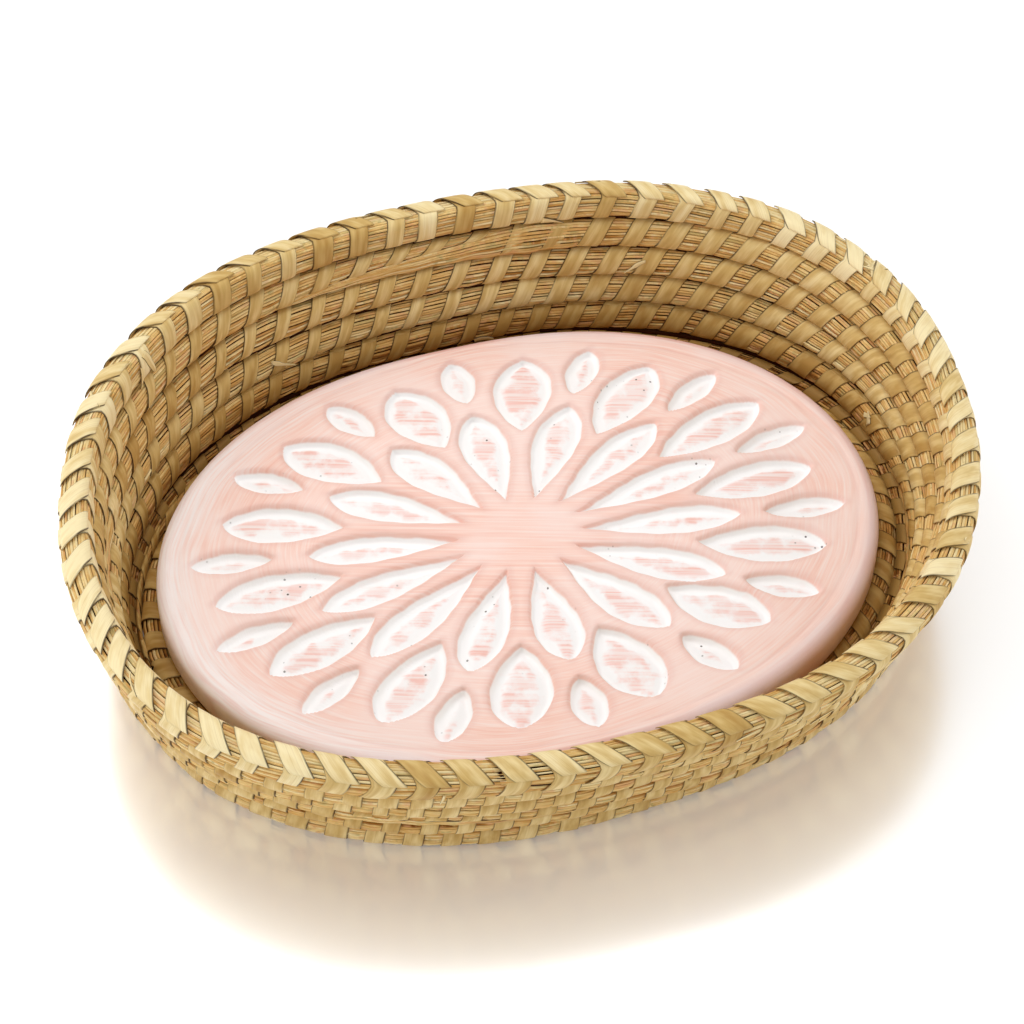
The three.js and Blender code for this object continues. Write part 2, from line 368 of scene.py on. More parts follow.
def wall_bundle(course, first, half, spreads=(False, False), filling=(0.0, 0.0)):
    """A course of the wall, or the rim, from its first angle once round. The floor course lies level."""
    angle = first + np.linspace(0, 2 * math.pi, wall_points)
    foot = oval(floor_half_width, angle, floor_core) + floor_shift
    top = oval(rim_half_width, angle, rim_core)
    swell = rim_corner_swell * np.cos(4 * (angle - rim_corner_direction))
    top = top + outward_of(top) * swell[:, None]
    height = rim_height + rim_rise * np.cos(angle - rim_rise_direction)
    outward = ((top - foot) * outward_of((foot + top) / 2)).sum(axis=1)
    slant = np.hypot(outward, height)
    below = rim_step + (slant - rim_step) * (wall_courses - course) / (wall_courses - 1)
    share = np.ones(len(angle)) if course == rim_course else 1 - below / slant
    flat = foot + (top - foot) * share[:, None]
    level = floor_height + share * height
    lean = np.zeros(len(angle))
    rng = np.random.default_rng(wall_seed + course)
    if course > 1:
        lean = np.arctan2(outward, height)
        level = level + hand_waves(rng, angle)
    flat = flat + outward_of(flat) * hand_waves(rng, angle)[:, None]
    spread = (slant - rim_step) / ((wall_courses - 1) * coil_pitch)
    wide = floor_course_fullness if course == 1 else 1.0
    return Bundle(flat, level, spread, wide, lean, half, True, spreads, filling)


def base_bundle(half):
    """The flat spiral: a straight start, turns one pitch apart, the last one thinning out."""
    inner_edge = floor_half_width - bundle_size / 2
    turns = (floor_half_width - 2 * coil_pitch) / coil_pitch
    turn = np.linspace(base_start_turn, turns + 1, spiral_points)
    radius = np.where(turn < 0, coil_pitch + (base_start_radius - coil_pitch) * turn / base_start_turn,
                      coil_pitch * (turn + 1))
    inner = radius - bundle_size / 2
    room = np.where(turn > turns, np.minimum(bundle_size / 2, (inner_edge - inner) / 2), bundle_size / 2)
    kept = room > tail_tip
    turn, inner, room = turn[kept], inner[kept], room[kept]
    spiral = oval(inner + room, base_start_direction + 2 * math.pi * turn, floor_core) + floor_shift
    back = np.linspace(straight_start, 0.2 * mm, start_points)
    start = spiral[0] - np.column_stack([back, np.zeros(start_points)])
    joining = smooth_step(0.8, 1.0, np.linspace(0, 1, start_points))
    swell = straight_start_swell - (straight_start_swell - 1) * joining
    wide = base_fullness * np.concatenate([swell, room / (bundle_size / 2)])
    return Bundle(np.concatenate([start, spiral]), floor_height, 1.0, wide, 0.0, half, False)


class Strands:
    """Gathers tubes of points into one mesh. Each strand has rows of its own on the map."""

    def __init__(self):
        self.parts = []
        self.rows_used = 0

    def add(self, points, along, across, tone, map_rows=1, loop=False):
        """Adds strands: points by strand, station and place in the ring, with what the colours follow."""
        strands, stations, ring = points.shape[:3]
        along = np.broadcast_to(along, (strands, stations))
        tone = np.broadcast_to(tone, (strands, stations))
        self.parts.append((points, along, np.asarray(across), tone, map_rows, loop, self.rows_used))
        self.rows_used += strands * map_rows

    def mesh(self, name):
        spots, facts, corners, sizes, maps = [], [], [], [], []
        first = 0
        for points, along, across, tone, map_rows, loop, row in self.parts:
            shape = points.shape[:3]
            strands, stations, ring = shape
            spots.append(points.reshape(-1, 3))
            facts.append(np.stack([np.broadcast_to(along[..., None], shape), np.broadcast_to(across, shape),
                                   np.broadcast_to(tone[..., None], shape)], axis=-1).reshape(-1, 3))
            steps = stations if loop else stations - 1
            strand, station, side = np.meshgrid(np.arange(strands), np.arange(steps), np.arange(ring),
                                                indexing="ij")
            per_row = math.ceil(steps / map_rows)
            quad, quad_map = [], []
            for ahead, round_step in ((0, 0), (1, 0), (1, 1), (0, 1)):
                row_of_points = strand * stations + (station + ahead) % stations
                quad.append(first + row_of_points * ring + (side + round_step) % ring)
                u = ((station % per_row) + ahead) / per_row
                v = (row + strand * map_rows + station // per_row + 0.1 + 0.8 * (side + round_step) / ring)
                quad_map.append(np.stack([0.01 + 0.98 * u, v / self.rows_used], axis=-1))
            corners.append(np.stack(quad, axis=-1).reshape(-1))
            maps.append(np.stack(quad_map, axis=-2).reshape(-1, 2))
            sizes.append(np.full(strand.size, 4))
            if not loop:
                turn = np.arange(ring) * 2 * math.pi / ring
                for end, order in ((0, np.arange(ring)), (stations - 1, np.arange(ring)[::-1])):
                    spot = (np.arange(strands)[:, None] * stations + end) * ring + order
                    corners.append((first + spot).reshape(-1))
                    last = map_rows - 1 if end else 0
                    u = np.broadcast_to((0.99 if end else 0.01) + 0.004 * np.cos(turn), spot.shape)
                    v = (row + np.arange(strands)[:, None] * map_rows + last + 0.5 + 0.3 * np.sin(turn))
                    maps.append(np.stack([u, v / self.rows_used], axis=-1).reshape(-1, 2))
                    sizes.append(np.full(strands, ring))
            first += strands * stations * ring
        return make_mesh(name, np.concatenate(spots), np.concatenate(corners), np.concatenate(sizes),
                         np.concatenate(maps), {"strand": np.concatenate(facts)})


def make_mesh(name, spots, corners, sizes, places, facts):
    """A smooth mesh from flat arrays, with its bake map and its vector attributes."""
    mesh = bpy.data.meshes.new(name)
    mesh.vertices.add(len(spots))
    mesh.vertices.foreach_set("co", spots.astype(np.float32).ravel())
    mesh.loops.add(len(corners))
    mesh.loops.foreach_set("vertex_index", corners.astype(np.int32))
    mesh.polygons.add(len(sizes))
    mesh.polygons.foreach_set("loop_start", (np.cumsum(sizes) - sizes).astype(np.int32))
    mesh.polygons.foreach_set("use_smooth", np.ones(len(sizes), dtype=bool))
    layer = mesh.uv_layers.new(name="OFBake")
    layer.uv.foreach_set("vector", places.astype(np.float32).ravel())
    for key, values in facts.items():
        attribute = mesh.attributes.new(key, "FLOAT_VECTOR", "POINT")
        attribute.data.foreach_set("vector", values.astype(np.float32).ravel())
    mesh.update(calc_edges=True)
    mesh.validate()
    return mesh


def add_piece(mesh, material, body, slot, *replaced):
    piece = bpy.data.objects.new(mesh.name, mesh)
    bpy.context.scene.collection.objects.link(piece)
    mesh.materials.append(material)
    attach(piece, body)
    if replaced:
        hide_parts(*replaced)


class Stitching:
    """Where a palm strip lies as it winds round a bundle: up the outside, over the top, down the inside."""

    def __init__(self, bundle, wraps, shift, wander, rng):
        self.bundle = bundle
        self.wraps = wraps
        self.pitch = bundle.length / wraps
        self.start = shift
        self.wander = wander
        self.jitter = rng.normal(0, stitch_jitter, wraps + 1)
        swell = slow_waves(rng, 1, np.arange(wraps + 1.0), 6.0, 17.0)[0]
        directions = bundle.direction(shift + self.pitch * np.arange(wraps + 1))
        aside = np.max([np.cos(directions - narrow) for narrow in narrow_directions], axis=0)
        narrow = 1 - stitch_narrowing * smooth_step(0.5, 0.9, aside) * bundle.closed
        self.width = stitch_width * narrow * (1 + 0.12 * swell + rng.normal(0, 0.08, wraps + 1))
        self.twist = rng.normal(0, stitch_twist, wraps + 1)
        new_leaf = rng.random(wraps + 1) < 0.12
        large_jumps = rng.normal(0, 0.25, wraps + 1)
        small_jumps = rng.normal(0, 0.04, wraps + 1)
        level = np.cumsum(np.where(new_leaf, large_jumps, small_jumps))
        steady = np.convolve(np.pad(level, 6, mode="edge"), np.ones(13) / 13, "valid")
        self.tone = np.clip(palm_tone + level - steady, 0, 1)

    def advance(self, turn):
        """Share of the pitch covered after part of a turn: little on the outside, more on the inside."""
        both, inside = stitch_lean
        bent = turn - both * np.sin(4 * math.pi * turn) / (4 * math.pi)
        return bent + inside * np.cos(2 * math.pi * turn) / (2 * math.pi)

    def drift(self, s):
        """Slow shift of the stitches against the next course's. At the front it lines them up in ribs."""
        if not self.wander:
            return 0.0
        direction = self.bundle.direction(s)
        ribs = rib_share * smooth_step(0.4, 0.95, np.cos(direction - rib_direction))
        return self.wander * (np.cos(direction - wander_direction) + ribs)

    def middle(self, wrap):
        whole = np.floor(wrap)
        s = self.start + self.pitch * (whole + self.advance(wrap - whole))
        return s + self.drift(s) + np.interp(wrap, np.arange(self.wraps + 1), self.jitter)

    def nearness(self, s, angle):
        """1 in the middle of a stitch, 0 halfway to the next."""
        turn = np.mod(angle / (2 * math.pi) + 0.25, 1)
        phase = (s - self.drift(s) - self.start) / self.pitch - self.advance(turn)
        return 0.5 + 0.5 * np.cos(2 * math.pi * phase)


# A strip's section: place across, from edge to edge, and lift above the bundle, seen along the strip
strip_across = np.array([-1, -0.97, -0.86, -0.45, 0, 0.45, 0.86, 0.97, 1, 0.5, -0.5])
strip_camber = np.array([0.0, 0.75, 0.9, 1.0, 1.05, 1.0, 0.9, 0.75, 0.0, -0.7, -0.7])


def stitch_strands(strands, stitching, per_wrap, painted_shade):
    """One strip wound along the whole bundle, darker inside by the painted shade of the stems."""
    wraps = stitching.wraps
    wrap = np.arange(wraps * per_wrap + 1) / per_wrap
    knots = np.arange(wraps + 1)
    angle = evenly(2 * math.pi * (wrap - 0.25))
    width = np.interp(wrap, knots, stitching.width)
    twist = np.interp(wrap, knots, stitching.twist)
    s = stitching.middle(wrap)[:, None] + strip_across * width[:, None] / 2
    lift = strip_camber * stitch_thickness + strip_across * twist[:, None]
    bundle = stitching.bundle
    across, up = bundle.section(s, angle[:, None], lift)
    if bundle.closed:
        head = splice_tip + (1 - splice_tip) * np.clip(stitching.middle(wrap)[:, None] / splice_length, 0, 1)
        across = across * (0.84 + 0.16 * head)
        up = bundle.half - (bundle.half - up) * head
    points = bundle.place(s, across, up)
    along = wrap * 4 * bundle_size
    inside = smooth_step(-0.3, 0.7, -np.cos(angle)) if bundle.closed else 1.0
    # Painted shade: the strip is darkened where it runs down the inside of the bundle
    tone = np.interp(wrap, knots, stitching.tone) - stitch_painted_shade * painted_shade * inside
    strands.add(points[None], along, strip_across, tone, wraps)


def ring_turns(sides):
    return 2 * math.pi * np.arange(sides) / sides


def tube(bundle, s, across, up, radius, sides):
    """Round strands along a bundle, about the middles given for each station."""
    turn = ring_turns(sides)
    return bundle.place(s[..., None], across[..., None] + radius[..., None] * np.cos(turn),
                        up[..., None] + radius[..., None] * np.sin(turn))


def grass_strands(strands, bundle, rng, count, spacing, sides, stitching=None, splice=splice_length,
                  cover=0.0, paleness=stem_paleness, painted_shade=0.0, stoutness=1.0):
    """Stems side by side round a core coloured dark as painted shade. In a splice they run out to a point,
    the tail under the head.
    """
    half = bundle.half
    radius = stoutness * rng.uniform(*stem_radius, (count, 1))
    angle = 2 * math.pi * (np.arange(count)[:, None] + rng.uniform(-0.15, 0.15, (count, 1))) / count
    depth = rng.uniform(0.0, stem_depth, (count, 1))
    first = rng.uniform(0, 0.12, (count, 1)) * splice
    last = bundle.length + splice * rng.uniform(0.86, 1.0, (count, 1))
    stations = int(bundle.length / spacing)
    s = first + (last - first) * np.linspace(0, 1, stations)
    angle = angle + slow_waves(rng, count, s, 50 * mm, 150 * mm) * 0.04
    angle = angle + slow_waves(rng, 1, s, 70 * mm, 190 * mm) * 0.25
    lift = slow_waves(rng, count, s, 22 * mm, 70 * mm) * 0.2 * mm - depth - radius * 0.9
    if stitching:
        lift = lift + stem_bulge * (1 - 2 * stitching.nearness(s, angle))
    angle = evenly(angle)
    tail = np.clip((s - bundle.length) / splice, 0, 1) if splice else 0 * s
    head = np.clip(s / splice, 0, 1) if splice else 1 + 0 * s
    covering = smooth_step(bundle.length - 30 * mm, bundle.length, s) * (1 - 0.6 * tail)
    lift = lift + cover * covering * smooth_step(0.1, 0.5, -np.cos(angle))
    across, up = bundle.section(s, angle, lift)
    head_fill = splice_tip + (1 - splice_tip) * head
    tail_fill = 1 - (1 - splice_tip) * tail
    up = half - (half - up) * head_fill
    up = (up + half) * tail_fill - half
    fill = np.minimum(head_fill, tail_fill)
    across = across * (0.84 + 0.16 * fill)
    from_end = np.minimum(s - first, last - s)
    thickness = radius * np.sqrt(fill) * (0.3 + 0.7 * smooth_step(0, 5 * mm, from_end))
    tone = rng.normal(paleness, stem_tone_spread, (count, 1))
    tone = tone + slow_waves(rng, count, s, 60 * mm, 200 * mm) * 0.1
    inside = smooth_step(-0.3, 0.7, -np.cos(angle)) if bundle.closed else 1.0
    # Painted shade: the stems are darkened on the inside of the bundle
    tone = np.clip(tone, 0, 1) - painted_shade * inside
    around = 2 * np.arange(sides) / sides - 1
    strands.add(tube(bundle, s, across, up, thickness, sides), s, around, tone)


def core_strand(strands, bundle, stations):
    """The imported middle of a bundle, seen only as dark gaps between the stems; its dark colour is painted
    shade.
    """
    s = np.linspace(0, bundle.length, stations, endpoint=not bundle.closed)
    across, up = bundle.section(s[:, None], ring_turns(core_sides), -(1 - core_share) * bundle.half)
    points = bundle.place(s[:, None], across, up)
    strands.add(points[None], s, 0.0, painted_shade_tone, loop=bundle.closed)


def crease_strand(strands, bundle, stations):
    """The packing in the crease above a bundle, where the next one presses on it, coloured dark as painted
    shade in the crease.
    """
    s = np.linspace(0, bundle.length, stations, endpoint=False)
    turn = ring_turns(crease_sides)
    top = bundle.section(s, math.pi / 2, 0.0)[1]
    across = crease_share * bundle.half * np.cos(turn)
    up = top[:, None] + crease_height * np.sin(turn)
    points = bundle.place(s[:, None], across, up)
    strands.add(points[None], s, 0.0, painted_shade_tone, loop=True)


def rim_strands(strands, rim, units, rng):
    """Palm strips of the rim: at each lashing an upright round the bundle and a slant over its crest."""
    pitch = rim.length / lashings
    count = len(units)
    middle = pitch * (units + 0.5)[:, None] + rng.normal(0, 0.6 * mm, (count, 1))
    direction = rim.direction(middle)
    # Painted light: strips toward the ends of the oval are made paler
    tone = palm_tone + end_strip_painted_light * np.cos(direction) ** 2
    tone = np.clip(tone + rng.normal(0, 0.14, (count, 1)), 0, 1)
    upright = upright_width * rng.uniform(0.84, 1.14, (count, 1))
    slant = slant_width * rng.uniform(0.88, 1.06, (count, 1))
    leaning = rng.uniform(0.8, 1.2, (count, 1))
    back = smooth_step(0.5, 0.95, np.cos(direction - narrow_directions[0]))
    crest = crest_turn - crest_turn_at_back * back
    outer, inner = crest - crest_half_turn, crest + crest_half_turn
    foot, end = upright_ends

    turn = np.linspace(foot, end, 25)
    lean = -0.26 + 0.41 * np.clip((turn - foot) / (outer - foot), 0, 1)
    lean = lean - 0.30 * np.clip((turn - outer) / (inner - outer), 0, 1)
    lean = lean + (0.41 - 0.2 * back) * np.clip((turn - inner) / (end - inner), 0, 1)
    s = (middle + pitch * lean * leaning)[..., None] + strip_across * upright[..., None] / 2
    lift = (strip_camber * stitch_thickness + 0.05 * mm)[None, None, :]
    points = rim.surface(s, evenly(turn)[None, :, None], lift)
    strands.add(points, turn * rim.half, strip_across, tone)

    way = np.linspace(-1, 1, 19)
    turn = crest - way * slant_half_turn
    rise = slant_lift - 0.6 * mm * np.abs(way) ** 2.5
    narrow = 1 - 0.12 * np.abs(way) ** 4
    aside = strip_across * (slant * narrow)[..., None] / 2
    s = (middle + pitch * slant_reach * way * leaning)[..., None] + aside
    points = rim.surface(s, evenly(turn)[..., None], rise[None, :, None] + strip_camber * stitch_thickness)
    strands.add(points, way * 10 * mm, strip_across, np.clip(tone + 0.1, 0, 1))


def loose_end(strands, bundle, direction, angle, heading, length, width, curl, tone):
    """A free end of leaf or stem: it leaves the bundle at an angle round it and curls off the surface."""
    way = np.linspace(0, 1, 12)
    along = length * (way - 0.25)
    ahead, aside = math.cos(heading), math.sin(heading)
    across = strip_across * width / 2 * (1 - 0.75 * way[:, None] ** 2)
    s = bundle.distance_at(direction) + along[:, None] * ahead - across * aside
    turn = angle + (along[:, None] * aside + across * ahead) / bundle.half
    lift = 0.3 * mm + curl * np.clip(way - 0.25, 0, 1)[:, None] ** 2 + strip_camber * stitch_thickness
    points = bundle.surface(s, turn, lift)
    strands.add(points[None], way * length, strip_across, tone)


def srgb(red, green, blue):
    """A colour as seen on a screen, turned into the linear values that shaders take."""
    def linear(value):
        return ((value + 0.055) / 1.055) ** 2.4 if value > 0.04045 else value / 12.92

    return linear(red), linear(green), linear(blue), 1.0


class Shader:
    """A material's nodes, made one by one; inputs are given as values or as other nodes' outputs."""

    def __init__(self, name):
        self.material = bpy.data.materials.new(name)
        self.material.use_nodes = True
        self.tree = self.material.node_tree
        self.surface = self.tree.nodes["Principled BSDF"]

    def fill(self, node, inputs):
        for key, value in inputs.items():
            socket = node.inputs[key]
            if isinstance(value, bpy.types.NodeSocket):
                self.tree.links.new(value, socket)
            else:
                socket.default_value = value

    def node(self, kind, output, inputs=None, **settings):
        made = self.tree.nodes.new(kind)
        for key, value in settings.items():
            setattr(made, key, value)
        self.fill(made, inputs or {})
        return made.outputs[output]

    def math(self, operation, a, b):
        return self.node("ShaderNodeMath", 0, {0: a, 1: b}, operation=operation)

    def plus(self, a, b):
        return self.math("ADD", a, b)

    def times(self, a, b):
        return self.math("MULTIPLY", a, b)

    def limit(self, value, low, high, new_low=0.0, new_high=1.0):
        return self.node("ShaderNodeMapRange", 0, {0: value, 1: low, 2: high, 3: new_low, 4: new_high},
                         interpolation_type="SMOOTHSTEP")

    def ramp(self, value, *stops):
        made = self.tree.nodes.new("ShaderNodeValToRGB")
        while len(made.color_ramp.elements) < len(stops):
            made.color_ramp.elements.new(0.5)
        for element, (place, colour) in zip(made.color_ramp.elements, stops):
            element.position = place
            element.color = colour
        self.tree.links.new(value, made.inputs[0])
        return made.outputs[0]

    def mix(self, share, a, b):
        return self.node("ShaderNodeMix", 2, {0: share, 6: a, 7: b}, data_type="RGBA")

    def split(self, vector):
        made = self.tree.nodes.new("ShaderNodeSeparateXYZ")
        self.tree.links.new(vector, made.inputs[0])
        return made.outputs[0], made.outputs[1], made.outputs[2]

    def attribute(self, name):
        return self.split(self.node("ShaderNodeAttribute", 1, attribute_name=name))

    def cloud(self, place, scale, detail):
        return self.node("ShaderNodeTexNoise", 0, {"Vector": place, "Scale": scale, "Detail": detail})

    def noise(self, x, y, z, detail):
        return self.cloud(self.node("ShaderNodeCombineXYZ", 0, {0: x, 1: y, 2: z}), 1.0, detail)

    def finish(self, colour, roughness, height=None, bump=0.2, depth=0.2 * mm, **constants):
        self.fill(self.surface, {"Base Color": colour, "Roughness": roughness})
        self.fill(self.surface, constants)
        if height is not None:
            normal = self.node("ShaderNodeBump", 0, {"Strength": bump, "Distance": depth, "Height": height})
            self.tree.links.new(normal, self.surface.inputs["Normal"])
        return self.material


def grass_material():
    """Straw, each stem with its own tone, with greenish and reddish stretches."""
    shade = Shader("dry_grass")
    along, around, tone = shade.attribute("strand")
    seed = shade.times(tone, 61.0)
    patches = shade.noise(shade.times(along, 45.0), seed, 0.0, 3.0)
    fibres = shade.noise(shade.times(along, 70.0), shade.times(around, 5.0), seed, 2.0)
    mixed = shade.plus(tone, shade.limit(patches, 0.25, 0.75, -0.2, 0.2))
    colour = shade.ramp(mixed, (0.0, srgb(0.50, 0.31, 0.11)), (0.2, srgb(0.72, 0.51, 0.25)),
                        (0.5, srgb(0.86, 0.68, 0.40)), (0.75, srgb(0.92, 0.79, 0.53)),
                        (1.0, srgb(0.95, 0.87, 0.66)))
    green = shade.noise(shade.times(along, 9.0), shade.times(tone, 113.0), 3.0, 1.0)
    colour = shade.mix(shade.limit(green, 0.56, 0.72, 0.0, 0.6), colour, srgb(0.73, 0.67, 0.44))
    colour = shade.mix(shade.limit(green, 0.45, 0.3, 0.0, 0.55), colour, srgb(0.88, 0.66, 0.47))
    colour = shade.mix(shade.limit(fibres, 0.5, 0.8, 0.0, 0.25), colour, srgb(0.66, 0.46, 0.21))
    # Painted shade: negative tones, from the core, the crease packing and the painted shade inside, darken
    # toward near-black brown
    painted_shade_share = shade.limit(tone, -0.9, -0.2)
    colour = shade.mix(painted_shade_share, srgb(0.21, 0.08, 0.0), colour)
    return shade.finish(colour, shade.limit(fibres, 0.2, 0.8, 0.5, 0.72), fibres, 0.35, 0.25 * mm,
                        **{"Specular IOR Level": 0.08})


def palm_material():
    """Dry leaf with veins along it and blotches, with painted shadow lines along its edges and painted shade
    from negative tones.
    """
    shade = Shader("palm_leaf")
    along, across, tone = shade.attribute("strand")
    seed = shade.times(tone, 23.0)
    veins = shade.noise(shade.times(along, 18.0), shade.times(across, 11.0), seed, 3.0)
    blotches = shade.noise(shade.times(along, 75.0), shade.times(across, 1.2), seed, 2.0)
    mixed = shade.plus(tone, shade.limit(blotches, 0.25, 0.75, -0.22, 0.22))
    colour = shade.ramp(mixed, (0.0, srgb(0.71, 0.55, 0.29)), (0.35, srgb(0.82, 0.69, 0.43)),
                        (0.65, srgb(0.91, 0.81, 0.58)), (1.0, srgb(0.97, 0.90, 0.71)))
    colour = shade.mix(shade.limit(veins, 0.45, 0.8, 0.0, 0.3), colour, srgb(0.70, 0.52, 0.24))
    # Painted shadow lines along both edges of the strip, stronger along one, broken up along it
    low_edge_shadow = shade.limit(across, 0.80, 0.97, 0.0, 0.9)
    high_edge_shadow = shade.limit(across, -0.88, -1.0, 0.0, 0.75)
    broken = shade.noise(shade.times(along, 110.0), shade.times(across, 0.8), seed, 1.0)
    edge = shade.times(shade.plus(low_edge_shadow, high_edge_shadow), shade.limit(broken, 0.3, 0.55, 0.35, 1.0))
    colour = shade.mix(edge, colour, srgb(0.19, 0.09, 0.01))
    # Painted shade: negative tones from the painted shade darken the strip toward dark brown
    painted_shade_share = shade.limit(tone, -0.9, -0.05)
    colour = shade.mix(painted_shade_share, srgb(0.22, 0.12, 0.03), colour)
    return shade.finish(colour, shade.limit(veins, 0.2, 0.8, 0.40, 0.58), veins, 0.3, 0.15 * mm,
                        **{"Specular IOR Level": 0.15})


def stone_material():
    """Pink clay with brush marks, and worn limewash in the carving."""
    shade = Shader("limewashed_terracotta")
    sunk, worn, darker_rose = shade.attribute("carving")
    share, east, north = shade.attribute("round")
    place = shade.node("ShaderNodeTexCoord", 3)
    bend = shade.cloud(place, 24.0, 1.0)
    bent = shade.plus(share, shade.limit(bend, 0.2, 0.8, -0.016, 0.016))
    sweep = shade.noise(shade.times(bent, 150.0), shade.times(east, 5.0), shade.times(north, 5.0), 4.0)
    x, y = shade.split(place)[:2]
    slanted = shade.plus(y, shade.times(x, 0.35))
    straight = shade.noise(shade.times(x, 28.0), shade.times(slanted, 900.0), 0.0, 3.0)
    outer = shade.limit(shade.plus(share, shade.limit(bend, 0.3, 0.7, -0.2, 0.2)), 0.38, 0.62)
    brush = shade.node("ShaderNodeMix", 0, {0: outer, 2: straight, 3: sweep})
    clouds = shade.cloud(place, 26.0, 3.0)
    grain = shade.cloud(place, 900.0, 3.0)
    patches = shade.cloud(place, 160.0, 4.0)
    pits = shade.node("ShaderNodeTexVoronoi", 0, {"Vector": place, "Scale": 330.0})
    clay = shade.ramp(brush, (0.25, srgb(0.96, 0.76, 0.69)), (0.5, srgb(0.98, 0.83, 0.775)),
                      (0.78, srgb(0.99, 0.91, 0.88)))
    clay = shade.mix(shade.limit(clouds, 0.38, 0.66, 0.0, 0.62), clay, srgb(0.985, 0.90, 0.87))
    # Darker rose on the clay beside the carving, along the groove and over the rounded edge and underside
    clay = shade.mix(shade.limit(darker_rose, 0.0, 1.0, 0.0, 0.6), clay, srgb(0.87, 0.64, 0.59))
    dusty = shade.times(shade.limit(share, 0.95, 0.99), shade.limit(bend, 0.42, 0.62, 0.15, 0.75))
    clay = shade.mix(dusty, clay, srgb(0.93, 0.86, 0.86))
    # Whiter towards the left end of the stone's edge, broken up by the brush marks
    left_whitening = shade.times(shade.limit(share, 0.84, 0.98), shade.limit(east, -0.2, -0.95))
    brushed_left_whitening = shade.times(left_whitening, shade.limit(brush, 0.3, 0.65, 0.5, 1.0))
    clay = shade.mix(brushed_left_whitening, clay, srgb(0.985, 0.95, 0.94))
    ragged = shade.plus(worn, shade.limit(patches, 0.3, 0.7, -0.6, 0.4))
    bare = shade.times(shade.limit(ragged, 0.2, 1.2), shade.limit(straight, 0.3, 0.62, 1.0, 0.35))
    lime = shade.mix(bare, srgb(0.985, 0.98, 0.975), srgb(0.95, 0.75, 0.70))
    edge = shade.plus(sunk, shade.limit(patches, 0.3, 0.7, -0.07, 0.07))
    colour = shade.mix(shade.limit(edge, 0.3, 0.62), clay, lime)
    sparse = shade.limit(shade.cloud(place, 70.0, 2.0), 0.55, 0.68)
    specks = shade.times(shade.limit(pits, 0.17, 0.08), shade.times(sparse, sunk))
    colour = shade.mix(specks, colour, srgb(0.30, 0.24, 0.22))
    height = shade.plus(shade.times(grain, 0.5), shade.times(brush, 0.7))
    height = shade.math("SUBTRACT", height, specks)
    return shade.finish(colour, shade.limit(grain, 0.2, 0.8, 0.7, 0.9), height, 0.3, 0.25 * mm)


def leaf_inside(share, angle, direction, near, far, width):
    """How far inside a carved leaf each spot of the stone lies, in metres; less than 0 outside."""
    middle = (near + far) / 2
    turn = np.arccos(np.clip((middle - share) / ((far - near) / 2), -1, 1))
    room = width * math.pi * np.sin(turn) ** 1.4 / leaf_count
    aside = np.abs(np.mod(angle - direction + math.pi, 2 * math.pi) - math.pi)
    stretch = share * np.hypot(stone_half_length * np.sin(angle), stone_half_width * np.cos(angle))
    beyond = np.maximum(np.maximum(near - share, share - far), 0) * stone_half_width
    return np.where(beyond > 0, -np.hypot(aside * stretch, beyond), (room - aside) * stretch)


def stone_round(spots):
    """Share of the way out from the stone's middle, and direction, as if it were a circle."""
    x = spots[..., 0] / stone_half_length
    y = spots[..., 1] / stone_half_width
    return np.hypot(x, y), np.arctan2(y, x)


def stone_carving(share, turn):
    """Depth of the carving at each spot of the face, and the facts that the colours follow."""
    rng = np.random.default_rng(stone_seed)
    inside = np.full(share.shape, -1.0)
    for i in range(leaf_count):
        wobble = rng.normal(0, 0.012, 4)
        direction = 2 * math.pi * (i + 0.5) / leaf_count + wobble[0]
        between = 2 * math.pi * i / leaf_count + wobble[1]
        leaves = ((direction, inner_leaf, wobble[2]), (between, middle_leaf, wobble[3]),
                  (direction, outer_leaf, 0))
        for toward, (near, far, width), longer in leaves:
            inside = np.maximum(inside, leaf_inside(share, turn, toward, near, far + longer, width))
    uneven = 0.25 * mm * np.sin(9 * turn + 40 * share) * np.sin(31 * share + 5 * turn)
    inside = inside + uneven
    sunk = smooth_step(-0.3 * mm, 2.0 * mm, inside)
    worn = smooth_step(2.8 * mm, 6.4 * mm, inside)
    beside = smooth_step(-3.5 * mm, -0.3 * mm, inside)
    groove = np.exp(-((share - groove_place) / groove_width) ** 2)
    depth = carving_depth * (sunk - 0.3 * worn) + groove_depth * groove
    return depth, np.stack([sunk, worn, np.maximum(0.5 * groove, 0.42 * beside)], axis=-1)


